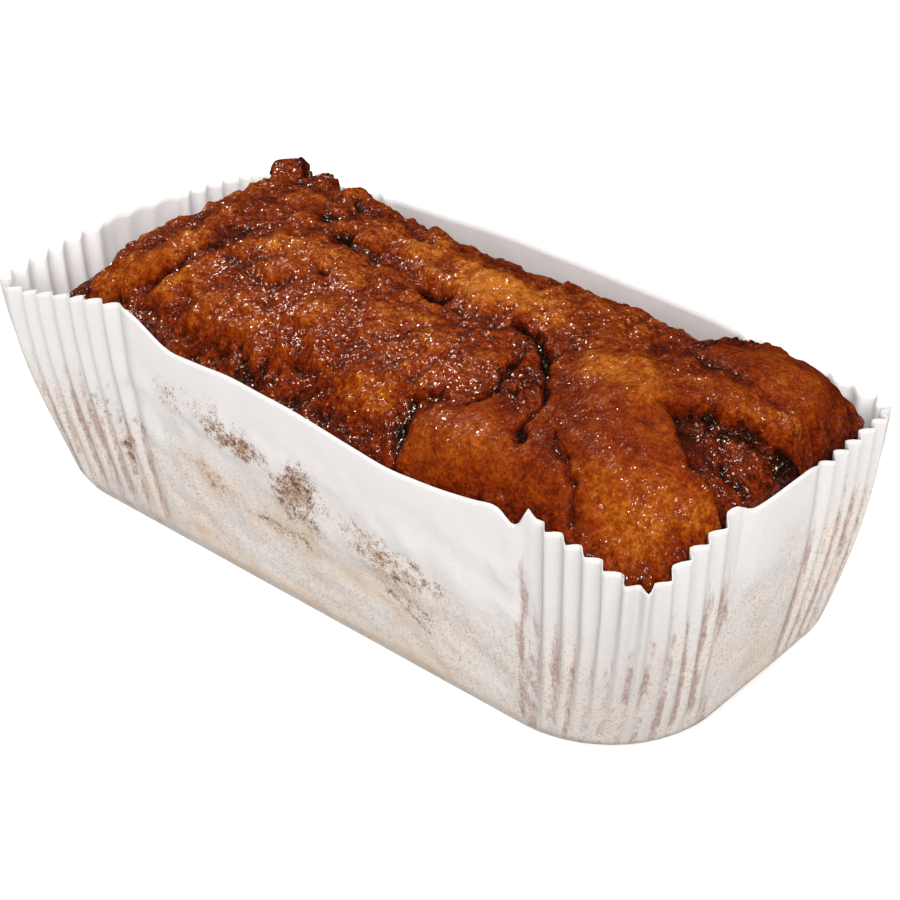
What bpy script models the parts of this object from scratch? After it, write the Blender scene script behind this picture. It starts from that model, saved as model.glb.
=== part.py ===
"""A cinnamon swirl banana loaf, baked and still standing in its pleated paper loaf case.

Sizes are in millimetres and become metres where the meshes are made. +X runs along the loaf,
-Y is the front, +Z is up, and the origin is at the middle of the base.
"""
import bpy
import numpy as np

MM = 0.001

# The paper case: plan at the rim and at the base, wall and floor
RIM_HALF_LENGTH = 100.6
RIM_HALF_WIDTH = 44.4
RIM_RADIUS = 6.0
BASE_HALF_LENGTH = 93.3
BASE_HALF_WIDTH = 37.4
BASE_ROUNDING = 1.4
FLARE_POWERS = (1.15, 0.88)
WALL = 0.6
FLOOR = 0.6
PANEL_BOW = 1.4

# The pleats: half the depth of the zigzag at the rim, how it grows with height, and its unevenness
PLEAT_DEPTH = 1.3
PLEAT_GROWTH = 0.8
PLEAT_UNEVEN = 0.16
PANEL_COLUMN_SPACING = 13.0
CASE_HEIGHT_STEPS = (0.0, 0.025, 0.12, 0.32, 0.58, 0.82, 1.0)

# Sides go round anticlockwise from the front, and s runs from -1 to 1 along each of them
FRONT, RIGHT, BACK, LEFT = range(4)
ALONG = np.array([(1.0, 0.0), (0.0, 1.0), (-1.0, 0.0), (0.0, -1.0)])
OUTWARD = np.array([(0.0, -1.0), (1.0, 0.0), (0.0, 1.0), (-1.0, 0.0)])

# Corner radii of the base: front left, front right, back right, back left
BASE_RADII = np.array([14.0, 29.0, 9.0, 14.0])

# For each side: where its flat panel starts and ends, and the pleats before and after it
PANELS = {
    FRONT: (-0.50, 0.71, 8, 6),
    RIGHT: (-0.34, 0.29, 5, 6),
    BACK: (-0.59, 0.47, 7, 8),
    LEFT: (-0.36, 0.20, 5, 6),
}

# For each side: the height of the rim at some places along it
RIM_HEIGHTS = {
    FRONT: ((-1.0, 57.0), (-0.9, 57.5), (-0.62, 64.5), (-0.49, 66.5), (-0.44, 64.5), (-0.35, 60.3),
            (-0.15, 62.0), (0.05, 61.3), (0.34, 57.8), (0.5, 58.3), (0.66, 60.0), (0.73, 63.0),
            (0.87, 58.8), (1.0, 55.5)),
    RIGHT: ((-1.0, 55.5), (-0.7, 59.3), (-0.5, 60.0), (-0.36, 62.5), (-0.26, 59.5), (0.22, 59.0),
            (0.36, 57.0), (1.0, 58.0)),
    BACK: ((-1.0, 58.0), (-0.62, 61.5), (-0.52, 63.0), (0.1, 64.5), (0.5, 63.5), (1.0, 56.5)),
    LEFT: ((-1.0, 56.5), (-0.4, 59.0), (0.1, 60.5), (0.5, 59.5), (1.0, 57.0)),
}

# The loaf: its sides inside the case, its shoulder and its crest
SIDE_CLEARANCE = 2.45
LOAF_CORNER_EXTRA = 1.5
LOAF_BOTTOM = 1.0
SHOULDER_HEIGHT = 56.5
LOAF_SIDE_STEPS = (0.0, 0.04, 0.14, 0.38, 0.68)
CREST_HEIGHTS = ((-100.0, 70.0), (-78.0, 73.0), (-55.0, 78.5), (-30.0, 77.0), (0.0, 76.0), (25.0, 74.5),
                 (45.0, 73.0), (65.0, 73.5), (85.0, 74.0), (100.0, 73.0))
END_POWERS = (3.0, 9.0)
END_ROUNDING = 0.6
CROWN_POWERS = (2.3, 3.0)
CROWN_ROUNDING = 0.72
LEFT_SHRINK = ((-44.0, 17.0), (-10.0, 10.0), (44.0, 3.0))
LEFT_SHRINK_FROM = -55.0
BACK_SHRINK = 3.2
TOP_COLUMNS = 84
TOP_ROWS = 40

# Relief of the crust. Cracks: points of the line, depth and half width
CRACKS = (
    (((30.0, -5.0), (37.0, -6.0), (42.5, -9.0), (44.5, -13.0), (45.0, -18.0)), 6.5, 2.4),
    (((45.0, -18.0), (45.5, -22.5), (48.5, -26.0), (54.0, -24.0), (57.5, -26.0), (59.5, -32.0)), 4.6, 2.1),
    (((62.0, -28.0), (68.0, -32.0), (71.5, -35.0), (75.5, -37.5), (79.0, -42.0)), 2.8, 1.9),
    (((25.0, -33.0), (32.0, -34.0), (34.0, -38.0), (34.5, -44.0)), 6.0, 3.0),
    (((-23.0, -2.0), (-8.0, -1.0), (3.0, -5.0), (14.0, -9.0), (21.0, -12.5)), 4.0, 3.6),
    (((66.0, 20.0), (67.0, 12.0), (73.0, 6.5), (80.0, 5.0)), 3.4, 2.4),
    (((-57.0, 38.0), (-55.0, 31.0), (-53.0, 24.0)), 5.0, 2.8),
    (((-45.0, -30.0), (-36.0, -22.0), (-29.0, -14.0)), 1.8, 3.0),
    (((-12.0, 26.0), (-2.0, 20.0), (4.0, 12.0)), 1.6, 3.0),
)

# Ledges: points of the line, step up on its left-hand side, and how far each step fades out
LEDGES = (
    (((-74.0, 32.0), (-79.0, 8.0), (-80.0, -12.0), (-72.0, -34.0)), 2.6, 9.0),
    (((-62.0, 24.0), (-68.0, 4.0), (-68.0, -14.0), (-60.0, -32.0)), 2.2, 9.0),
    (((99.0, -21.0), (92.0, -17.5), (84.0, -14.5), (76.0, -11.5)), 4.6, 8.0),
    (((78.0, 1.0), (88.0, 2.5), (99.0, 5.0)), 4.0, 7.0),
    (((-36.0, 34.0), (-24.0, 24.0), (-10.0, 16.0)), 1.8, 8.0),
)

# Lobes: middle, half sizes, turn in degrees and height; a hollow has a negative height
LOBES = (
    ((77.0, -27.0), (22.0, 14.0), 6.0, 3.8),
    ((46.0, -35.0), (13.0, 9.0), 10.0, 3.2),
    ((63.0, -8.0), (15.0, 9.0), -14.0, 2.8),
    ((84.0, 21.0), (18.0, 14.0), 0.0, 3.2),
    ((22.0, 6.0), (14.0, 9.0), -16.0, 3.4),
    ((46.0, 8.0), (16.0, 11.0), -14.0, 2.6),
    ((-6.0, 14.0), (13.0, 9.0), 20.0, 2.2),
    ((16.0, -34.0), (10.0, 7.0), 0.0, 2.0),
    ((26.0, -22.0), (15.0, 9.0), 12.0, 1.8),
    ((-10.0, -30.0), (12.0, 9.0), 24.0, 1.6),
    ((-28.0, -32.0), (10.0, 7.0), 0.0, 1.8),
    ((-18.0, 5.0), (9.0, 6.0), 0.0, 2.0),
    ((-14.0, -13.0), (10.0, 7.0), 30.0, 2.2),
    ((-42.0, 6.0), (14.0, 8.0), 60.0, 2.0),
    ((-40.0, 28.0), (14.0, 8.0), -10.0, 3.6),
    ((-64.0, -27.0), (12.0, 4.5), 64.0, 3.2),
    ((-74.5, 31.5), (5.5, 6.0), 0.0, 9.0),
    ((-62.5, 35.0), (5.0, 5.5), 0.0, 9.0),
    ((-84.0, -10.0), (5.0, 4.5), 0.0, 3.2),
    ((-21.0, -2.0), (4.0, 3.0), 0.0, -3.0),
    ((-29.0, 3.0), (4.0, 3.0), 0.0, -2.0),
    ((14.0, -8.5), (5.0, 4.0), 0.0, -6.0),
    ((45.5, -16.5), (7.0, 5.0), 30.0, -4.6),
    ((52.5, -24.0), (3.5, 3.0), 0.0, -2.4),
    ((66.0, 20.0), (5.0, 4.0), 0.0, -3.6),
    ((90.0, -7.0), (11.0, 7.0), -10.0, -2.8),
    ((69.0, 31.0), (6.0, 5.0), 0.0, 2.6),
    ((-41.0, -12.0), (4.0, 3.5), 0.0, -1.8),
)

# Lumps all over the crust: size of a lump, height and seed, and where the crust is rough
LUMPS = ((10.0, 2.3, 11), (5.2, 1.0, 12))
WAVE_SIZE, WAVE_HEIGHT, WAVE_SEED = 23.0, 1.1, 13
SMOOTH_LOBES = (((75.0, -24.0), 24.0), ((84.0, 21.0), 15.0), ((46.0, -34.0), 12.0))
SMOOTH_SHARE = 0.75

# Colours in linear light
CRUST_COLOUR = (0.20, 0.045, 0.010, 1.0)
CRUST_ROUGHNESS = 0.35
PAPER_COLOUR = (0.80, 0.77, 0.73, 1.0)
PAPER_ROUGHNESS = 0.75


def clear_scene():
    """Takes every object out of the scene."""
    for ob in list(bpy.data.objects):
        bpy.data.objects.remove(ob, do_unlink=True)


def smooth(value):
    """Eases a value from 0 to 1, flat at both ends."""
    value = np.clip(value, 0.0, 1.0)
    return value * value * (3.0 - 2.0 * value)


def outline(side, s, half_length, half_width, radius):
    """Points and outward normals of a rounded rectangle, at s along each side.

    The straight part follows s times the half side, and the rest of s turns 45 degrees of the corner.
    """
    half = np.where(side % 2 == 0, half_length, half_width)
    out = np.where(side % 2 == 0, half_width, half_length)
    reach = np.abs(s) * half
    turn = np.clip((reach - half + radius) / radius, 0.0, 1.0) * np.pi / 4
    along = np.minimum(reach, half - radius) + radius * np.sin(turn)
    outward = out - radius + radius * np.cos(turn)
    sign = np.sign(s)
    points = (sign * along)[..., None] * ALONG[side] + outward[..., None] * OUTWARD[side]
    normals = (sign * np.sin(turn))[..., None] * ALONG[side] + np.cos(turn)[..., None] * OUTWARD[side]
    return points, normals


def case_plan(side, s, t, inset=0.0, corner_extra=0.0):
    """Plan of the case's wall at the share t of its height, before the pleats.

    The wall flares by the sine of t times a quarter turn, raised to a power that is lower towards
    the right-hand end, where the wall is fuller, and it is tucked in a little at its foot.
    """
    rightwards = np.choose(side, [(1.0 + s) / 2, 1.0 + 0.0 * s, (1.0 - s) / 2, 0.0 * s])
    power = FLARE_POWERS[0] + (FLARE_POWERS[1] - FLARE_POWERS[0]) * rightwards
    flare = np.sin(np.pi / 2 * t) ** power
    tuck = BASE_ROUNDING * (1.0 - smooth(t / 0.1)) ** 2
    half_length = BASE_HALF_LENGTH + (RIM_HALF_LENGTH - BASE_HALF_LENGTH) * flare - tuck - inset
    half_width = BASE_HALF_WIDTH + (RIM_HALF_WIDTH - BASE_HALF_WIDTH) * flare - tuck - inset
    base_radius = BASE_RADII[(side + (s > 0)) % 4]
    radius = base_radius + (RIM_RADIUS - base_radius) * t + corner_extra
    return outline(side, s, half_length, half_width, radius)


def rim_height(side, s):
    """Height of the rim, read along the side between its named places."""
    height = np.zeros(np.shape(s))
    for k, places in RIM_HEIGHTS.items():
        here = side == k
        height[here] = np.interp(s[here], *np.transpose(places))
    return height


def case_columns():
    """The folds of the paper, as side, s and zigzag from -1 in a valley to 1 on a peak."""
    rng = np.random.default_rng(7)
    columns = []
    for side, (start, end, before, after) in PANELS.items():
        edge = RIM_HALF_LENGTH if side % 2 == 0 else RIM_HALF_WIDTH
        for corner, panel, pleats in ((-1.0, start, before), (1.0, end, after)):
            folds = []
            for k in range(2 * pleats):
                wobble = rng.uniform(-1.0, 1.0) * PLEAT_UNEVEN if k else 0.0
                s = corner + (panel - corner) * (k + wobble) / (2 * pleats)
                size = 1.0 - PLEAT_UNEVEN * rng.uniform(0.0, 1.0)
                folds.append((side, s, size if k % 2 == 0 else -size))
            if corner > 0.0:
                folds = folds[:0:-1]
            columns += folds
            if corner < 0.0:
                steps = int(round((end - start) * edge / PANEL_COLUMN_SPACING))
                columns += [(side, start + (end - start) * k / steps, 0.0) for k in range(steps + 1)]
    side, s, zigzag = np.array(columns).T
    return side.astype(int), s, zigzag


def panel_bow(side, s):
    """How far a flat panel bows outwards, most at its middle."""
    bow = np.zeros(len(s))
    for k, (start, end, _, _) in PANELS.items():
        here = (side == k) & (s > start) & (s < end)
        share = (s[here] - start) / (end - start)
        bow[here] = PANEL_BOW * np.sin(np.pi * share) * (1.0 if k % 2 == 0 else 0.5)
    return bow


def case_ring(t, inset):
    """One level ring of the case: the plan at the share t, moved by the pleats and by the inset."""
    side, s, zigzag = case_columns()
    points, normals = case_plan(side, s, np.full(len(s), t))
    shift = zigzag * PLEAT_DEPTH * t ** PLEAT_GROWTH * smooth(t / 0.15) + panel_bow(side, s) * smooth(t) - inset
    points = points + normals * shift[:, None]
    height = np.maximum(t * rim_height(side, s), FLOOR if inset else 0.0)
    return np.column_stack([points, height])


def ring_faces(low, high, count):
    """Quads between two rings of vertices, facing out when the rings run anticlockwise upwards."""
    k = np.arange(count)
    n = (k + 1) % count
    return np.stack([low + k, low + n, high + n, high + k], axis=1).tolist()


def make_object(name, vertices, faces, material):
    """An object of its own with the given mesh, in metres."""
    mesh = bpy.data.meshes.new(name)
    mesh.from_pydata((np.asarray(vertices) * MM).tolist(), [], faces)
    mesh.validate()
    mesh.materials.append(material)
    mesh.shade_smooth()
    ob = bpy.data.objects.new(name, mesh)
    bpy.context.scene.collection.objects.link(ob)
    return ob


def make_material(name, colour, roughness):
    """A plain Principled material."""
    material = bpy.data.materials.new(name)
    material.use_nodes = True
    shader = material.node_tree.nodes["Principled BSDF"]
    shader.inputs["Base Color"].default_value = colour
    shader.inputs["Roughness"].default_value = roughness
    shader.inputs["Metallic"].default_value = 0.0
    return material


def paper_case():
    """The paper case: outer wall up, across the rim, inner wall down, and a floor with two faces."""
    rings = [case_ring(t, 0.0) for t in CASE_HEIGHT_STEPS]
    rings += [case_ring(t, WALL) for t in CASE_HEIGHT_STEPS[::-1]]
    count = len(rings[0])
    faces = []
    for k in range(len(rings) - 1):
        faces += ring_faces(k * count, (k + 1) * count, count)
    faces.append(list(range(count))[::-1])
    faces.append(list(range((len(rings) - 1) * count, len(rings) * count)))
    material = make_material("greaseproof_paper", PAPER_COLOUR, PAPER_ROUGHNESS)
    return make_object("paper_case", np.vstack(rings), faces, material)


def line_distance(x, y, points):
    """Distance to a line through the points, and on which side each place lies, 1 on the left."""
    best = np.full(x.shape, np.inf)
    left = np.ones(x.shape)
    for (ax, ay), (bx, by) in zip(points[:-1], points[1:]):
        dx, dy = bx - ax, by - ay
        share = np.clip(((x - ax) * dx + (y - ay) * dy) / (dx * dx + dy * dy), 0.0, 1.0)
        distance = np.hypot(x - ax - share * dx, y - ay - share * dy)
        nearer = distance < best
        best = np.where(nearer, distance, best)
        left = np.where(nearer, np.sign(dx * (y - ay) - dy * (x - ax)), left)
    return best, left


def waves(x, y, size, seed):
    """Soft noise from -1 to 1: random values on a square lattice, eased between."""
    table = np.random.default_rng(seed).uniform(-1.0, 1.0, (64, 64))
    gx, gy = x / size + 20.0, y / size + 20.0
    ix, iy = np.floor(gx).astype(int), np.floor(gy).astype(int)
    fx, fy = smooth(gx - ix), smooth(gy - iy)
    low = table[ix % 64, iy % 64] * (1 - fx) + table[(ix + 1) % 64, iy % 64] * fx
    high = table[ix % 64, (iy + 1) % 64] * (1 - fx) + table[(ix + 1) % 64, (iy + 1) % 64] * fx
    return low * (1 - fy) + high * fy


def lumps(x, y, size, seed):
    """Rounded lumps from 0 in the creases to 1: the gap between the two nearest of scattered middles."""
    table = np.random.default_rng(seed).uniform(0.0, 1.0, (64, 64, 2))
    gx, gy = x / size + 20.0, y / size + 20.0
    ix, iy = np.floor(gx).astype(int), np.floor(gy).astype(int)
    near = np.full(x.shape, 9.0)
    second = near.copy()
    for di in (-1, 0, 1):
        for dj in (-1, 0, 1):
            middle = table[(ix + di) % 64, (iy + dj) % 64]
            distance = np.hypot(ix + di + middle[..., 0] - gx, iy + dj + middle[..., 1] - gy)
            second = np.minimum(second, np.maximum(near, distance))
            near = np.minimum(near, distance)
    return smooth((second - near) * 1.4)


def relief(x, y):
    """Height of the crust's relief over the plain dome, at places in plan."""
    height = WAVE_HEIGHT * waves(x, y, WAVE_SIZE, WAVE_SEED)
    for (mx, my), (rx, ry), turn, rise in LOBES:
        c, s = np.cos(np.radians(turn)), np.sin(np.radians(turn))
        u = ((x - mx) * c + (y - my) * s) / rx
        v = ((y - my) * c - (x - mx) * s) / ry
        height = height + rise * np.exp(-(u * u + v * v) ** 1.3)
    for points, depth, width in CRACKS:
        distance, _ = line_distance(x, y, points)
        height = height - depth * np.exp(-(distance / width) ** 2)
    for points, rise, fade in LEDGES:
        distance, left = line_distance(x, y, points)
        height = height + 0.5 * rise * left * np.tanh(distance / 1.2) * np.exp(-(distance / fade) ** 2)
    rough = np.ones(x.shape)
    for (mx, my), radius in SMOOTH_LOBES:
        rough = rough * (1.0 - SMOOTH_SHARE * np.exp(-(((x - mx) ** 2 + (y - my) ** 2) / radius ** 2) ** 2))
    for size, rise, seed in LUMPS:
        height = height + rough * rise * (lumps(x, y, size, seed) - 0.6)
    return height


def draw_in(points):
    """Draws the top of the loaf in from the case, at its left end and along its back."""
    x, y = points[..., 0], points[..., 1]
    share = smooth((LEFT_SHRINK_FROM - x) / (RIM_HALF_LENGTH + LEFT_SHRINK_FROM))
    shrink = np.interp(y, *np.transpose(LEFT_SHRINK))
    back = smooth((y - 10.0) / (RIM_HALF_WIDTH - 10.0)) * BACK_SHRINK
    return np.stack([x + shrink * share, y - back], axis=-1)


def side_fractions(count):
    """Positions from -1 to 1, a little closer together towards the ends, where the shoulder turns."""
    even = np.linspace(-1.0, 1.0, count + 1)
    return even + 0.10 * np.sin(np.pi * even) / np.pi


def loaf_top(u, v):
    """Points of the crust over the grid u along and v across, each from -1 to 1.

    Each place lies m of the way out to the loaf's outline, m being the larger of |u| and |v|, at the
    height shoulder + crest share, and the relief moves it along the dome's normal.
    """
    m = np.maximum(np.maximum(np.abs(u), np.abs(v)), 1e-9)
    side = np.where(np.abs(v) >= np.abs(u), np.where(v < 0, FRONT, BACK), np.where(u > 0, RIGHT, LEFT))
    s = np.choose(side, [u / m, v / m, -u / m, -v / m])
    ring, _ = case_plan(side, s, SHOULDER_HEIGHT / rim_height(side, s), SIDE_CLEARANCE, LOAF_CORNER_EXTRA)
    plan = draw_in(ring * m[..., None])
    crest = np.interp(plan[..., 0], *np.transpose(CREST_HEIGHTS)) - SHOULDER_HEIGHT
    end = (1.0 - np.abs(u) ** np.where(u < 0, *END_POWERS)) ** END_ROUNDING
    plump = smooth(u) * (v > 0)
    crown_power = CROWN_POWERS[0] + (CROWN_POWERS[1] - CROWN_POWERS[0]) * plump
    crown = (1.0 - np.abs(v) ** crown_power) ** CROWN_ROUNDING
    points = np.concatenate([plan, (SHOULDER_HEIGHT + crest * end * crown)[..., None]], axis=-1)
    du, dv = np.gradient(points, axis=0), np.gradient(points, axis=1)
    normal = np.cross(du, dv)
    normal /= np.linalg.norm(normal, axis=-1, keepdims=True)
    fade = smooth((1.0 - m) / 0.07)
    return points + normal * (relief(plan[..., 0], plan[..., 1]) * fade)[..., None]


def loaf():
    """The loaf: a domed, cracked crust over sides that follow the case down to a flat bottom."""
    u, v = np.meshgrid(side_fractions(TOP_COLUMNS), side_fractions(TOP_ROWS), indexing="ij")
    top = loaf_top(u, v)
    nu, nv = u.shape
    index = np.arange(nu * nv).reshape(nu, nv)
    quads = np.stack([index[:-1, :-1], index[1:, :-1], index[1:, 1:], index[:-1, 1:]], axis=-1)
    faces = quads.reshape(-1, 4).tolist()
    border = np.concatenate([index[:-1, 0], index[-1, :-1], index[:0:-1, -1], index[0, :0:-1]])
    side = np.repeat([FRONT, RIGHT, BACK, LEFT], [nu - 1, nv - 1, nu - 1, nv - 1])
    across = {FRONT: u[:-1, 0], RIGHT: v[-1, :-1], BACK: -u[:0:-1, -1], LEFT: -v[0, :0:-1]}
    s = np.concatenate([across[k] for k in range(4)])
    count = len(border)
    rings = []
    for t in LOAF_SIDE_STEPS:
        height = LOAF_BOTTOM + (SHOULDER_HEIGHT - LOAF_BOTTOM) * t
        low, _ = case_plan(side, s, height / rim_height(side, s), SIDE_CLEARANCE, LOAF_CORNER_EXTRA)
        share = smooth((t - 0.3) / 0.7)
        plan = low * (1.0 - share) + draw_in(low) * share
        rings.append(np.column_stack([plan, np.full(count, height)]))
    vertices = np.vstack([top.reshape(-1, 3)] + rings)
    start = nu * nv
    rows = [start + k * count + np.arange(count) for k in range(len(rings))] + [border]
    for low, high in zip(rows[:-1], rows[1:]):
        nxt = np.roll(np.arange(count), -1)
        faces += np.stack([low, low[nxt], high[nxt], high], axis=1).tolist()
    faces.append(rows[0][::-1].tolist())
    material = make_material("crust", CRUST_COLOUR, CRUST_ROUGHNESS)
    return make_object("loaf", vertices, faces, material)


def main():
    clear_scene()
    paper_case()
    loaf()


main()
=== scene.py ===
"""Dresses the banana loaf: the sticky crust, the stained pleated paper case, and a plain stage.

Sizes inside the shape functions are in millimetres and become metres where a mesh is made.
"""
import bpy
import numpy as np
from mathutils import Matrix


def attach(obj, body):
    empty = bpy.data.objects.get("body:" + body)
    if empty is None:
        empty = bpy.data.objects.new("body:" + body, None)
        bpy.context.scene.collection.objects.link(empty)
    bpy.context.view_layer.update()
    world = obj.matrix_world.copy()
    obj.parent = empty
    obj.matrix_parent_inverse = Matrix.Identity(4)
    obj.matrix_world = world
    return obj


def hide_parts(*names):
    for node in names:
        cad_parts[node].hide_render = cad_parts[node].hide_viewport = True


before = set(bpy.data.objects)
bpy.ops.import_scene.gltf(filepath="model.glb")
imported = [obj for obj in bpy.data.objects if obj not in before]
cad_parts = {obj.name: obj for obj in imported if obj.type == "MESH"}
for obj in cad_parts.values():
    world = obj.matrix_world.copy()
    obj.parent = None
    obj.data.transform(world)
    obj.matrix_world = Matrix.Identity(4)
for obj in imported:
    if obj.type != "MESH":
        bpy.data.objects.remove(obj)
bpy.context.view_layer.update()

bl_info = {
    "name": "Banana loaf in a paper case",
    "version": (1, 0, 0),
    "blender": (4, 5, 0),
    "location": "3D View > Sidebar > Banana loaf",
    "description": "Makes a cracked caramel loaf, its pleated paper case and a plain stage",
    "category": "Object",
}

MM = 0.001

# Half the floor's width in metres
FLOOR_REACH = 3.0

# Lamps that light the matt surfaces: name, azimuth, elevation and spread in degrees
KEY_COLOUR = (1.0, 0.93, 0.83)
KEY_LAMP = ("left_softbox", -100.0, 52.0, 16.0)
FILL_LAMP = ("beside_camera", 40.0, 34.0, 60.0)
SIDE_LAMP = ("right_softbox", 105.0, 38.0, 50.0)

# Small lamps that only the glaze mirrors: name, azimuth, elevation, spread and power
GLINT_COLOUR = (1.0, 0.85, 0.73)
GLINT_LAMPS = (
    ("left_glint", -100.0, 52.0, 13.0, 2.5),
    ("back_glint", 165.0, 45.0, 10.0, 0.8),
    ("high_glint", 50.0, 68.0, 10.0, 1.1),
)

# Random lattices of the waves and lumps: cells before they repeat, and their offset
LATTICE = 64
LATTICE_OFFSET = 20.0

# Sides go round anticlockwise from the front, and s runs from -1 to 1 along each of them
FRONT, RIGHT, BACK, LEFT = range(4)
ALONG = np.array([(1.0, 0.0), (0.0, 1.0), (-1.0, 0.0), (0.0, -1.0)])
OUTWARD = np.array([(0.0, -1.0), (1.0, 0.0), (0.0, 1.0), (-1.0, 0.0)])

# The paper case
RIM_HALF_LENGTH = 100.6
RIM_HALF_WIDTH = 44.4
RIM_RADIUS = 6.0
BASE_HALF_LENGTH = 93.3
BASE_HALF_WIDTH = 37.4
BASE_ROUNDING = 1.4
BASE_RADII = np.array([14.0, 29.0, 9.0, 14.0])
FLARE_POWERS = (1.15, 0.88)
PANEL_BOW = 1.4
PLEAT_GROWTH = 0.8
PLEAT_UNEVEN = 0.16

# For each side: where its flat panel starts and ends, and the pleats before and after it
PANELS = {
    FRONT: (-0.50, 0.703, 8, 6),
    RIGHT: (-0.34, 0.29, 5, 6),
    BACK: (-0.59, 0.47, 7, 8),
    LEFT: (-0.36, 0.20, 5, 6),
}

# For each side: the height of the rim at some places along it
RIM_HEIGHTS = {
    FRONT: ((-1.0, 57.0), (-0.9, 57.5), (-0.62, 64.5), (-0.49, 66.5), (-0.44, 64.5), (-0.35, 60.3),
            (-0.15, 62.0), (0.05, 61.3), (0.34, 57.8), (0.5, 58.6), (0.58, 59.6), (0.70, 61.0),
            (0.87, 58.8), (1.0, 55.5)),
    RIGHT: ((-1.0, 55.5), (-0.7, 59.3), (-0.5, 60.0), (-0.36, 62.5), (-0.26, 59.5), (0.22, 59.0),
            (0.36, 57.0), (1.0, 58.0)),
    BACK: ((-1.0, 58.0), (-0.62, 61.5), (-0.52, 63.0), (0.1, 64.5), (0.5, 63.5), (1.0, 56.5)),
    LEFT: ((-1.0, 56.5), (-0.4, 59.0), (0.1, 60.5), (0.5, 59.5), (1.0, 57.0)),
}

# The rim's height at a place is the mean of the table's heights at these steps along from it
RIM_EASING = np.linspace(-0.035, 0.035, 7)

# Single dips and tips of the rim: side, place, half width along the side, and rise
RIM_TIPS = ((FRONT, 0.666, 0.026, -2.8), (FRONT, 0.701, 0.010, 2.8), (FRONT, 0.61, 0.03, 0.4))

# Soft waves of the left end's panel, which has no flat part: their length along the side, depth and scallop
LEFT_WAVE, LEFT_WAVE_DEPTH, LEFT_WAVE_SCALLOP = 0.19, 0.5, 0.9

# Fineness of the paper: columns in each half pleat, how far panel columns are apart, and rows up the wall
FOLD_COLUMNS = 4
PANEL_COLUMN_SPACING = 1.1
PAPER_ROWS = 48

# How round each fold is, from 0 to 1, and how far the rim rises midway between two folds
FOLD_ROUNDING = 0.35
RIM_SCALLOP = 0.25

# How far along the noise of one wall lies from that of the next
WALL_OFFSET = 240.0

# Ovals in these tables: two numbers for the middle, two half sizes, strength, and degrees if it is turned

# Stains on the front wall, along and up
BROWN_STAINS = (
    (-13.5, 44.5, 11, 2.4, 0.9, -12), (-22, 49.5, 13, 3.4, 0.22, -8), (-37, 46, 5, 3.5, 0.28, -30),
    (3.5, 38.5, 5, 6.5, 1, -45), (6, 31, 6, 3, 0.4, -30), (14, 36, 9, 2.5, 0.3, -14),
    (27, 34, 10, 3, 0.42, -28), (41, 32, 10, 2.6, 0.36, -22), (36, 22, 12, 5, 0.3, -40),
    (-24, 27, 7, 3, 0.42, -30), (-4, 25, 9, 3.4, 0.42, -14), (-30, 34, 3.4, 2.6, 0.35),
    (-58, 22, 1.6, 12, 0.8), (-52, 34, 1.6, 9, 0.32), (-66, 32, 1.6, 9, 0.32), (-72, 28, 1.4, 10, 0.3),
    (-62, 36, 1.2, 8, 0.3),
)
TAN_STAINS = (
    (-24, 27, 9, 5, 0.9, -25), (-30, 34, 4, 3, 0.7), (0, 25, 15, 6, 1, -12), (28, 20, 16, 8, 0.6, -10),
    (-10, 4, 40, 4.5, 0.9), (40, 5, 24, 4, 0.8), (-42, 10, 14, 6, 0.8),
)

# How far the stains' edges wander
STAIN_WOBBLE = 2.5

# Grease soaks up to a wavy line: its height, how much higher it is at the right end, and how it fades
WET_LINE, WET_LINE_RIGHT, WET_FADE = 46.0, 7.0, 22.0

# Painted shade along the fold where the front panel meets its pleats
SEAM, SEAM_WIDTH = 0.692, 0.011

# Where the greasy paper clings to the cake below a slack upper band: height of the crease along the front
CLING_LINE = ((-50, 45), (-36, 45), (-24, 41), (-10, 35), (4, 31), (20, 29), (45, 24))
CLING_STEP = 0.35

# The loaf: gap to the case at its sides, more of it off the pleats, and the heights of its parts
SIDE_GAP = 0.8
PLEAT_CLEARANCE = 1.6
LOAF_CORNER_EXTRA = 1.5
LOAF_BOTTOM = 1.0
SHOULDER_HEIGHT = 56.5
CREST_HEIGHTS = (
    (-100, 70), (-78, 73), (-55, 78.5), (-30, 77), (0, 76), (25, 74.5), (45, 73), (65, 73.5), (85, 74),
    (100, 73),
)

# Roundness of the dome: powers towards the left and right ends, and across it, where the second is for
# the back right
END_POWERS, END_ROUNDING = (3.0, 9.0), 0.6
CROWN_POWERS, CROWN_ROUNDING = (2.3, 3.0), 0.72

# How far the top is drawn in from the case, at the left end for some places across it and along the
# back, and how far its edge sags at the left
LEFT_SHRINK = ((-44, 17), (-10, 10), (44, 3))
LEFT_SHRINK_FROM = -55.0
BACK_SHRINK, BACK_SHRINK_FROM = 3.2, 10.0
LEFT_SAG, LEFT_SAG_REACH = 3.4, 20.0

# Fineness of the loaf, and the lumps on its sides
TOP_COLUMNS = 400
TOP_ROWS = 180
SIDE_ROWS = 19
SIDE_LUMP_SIZE, SIDE_LUMP_HEIGHT = 7.0, 1.0

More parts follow.
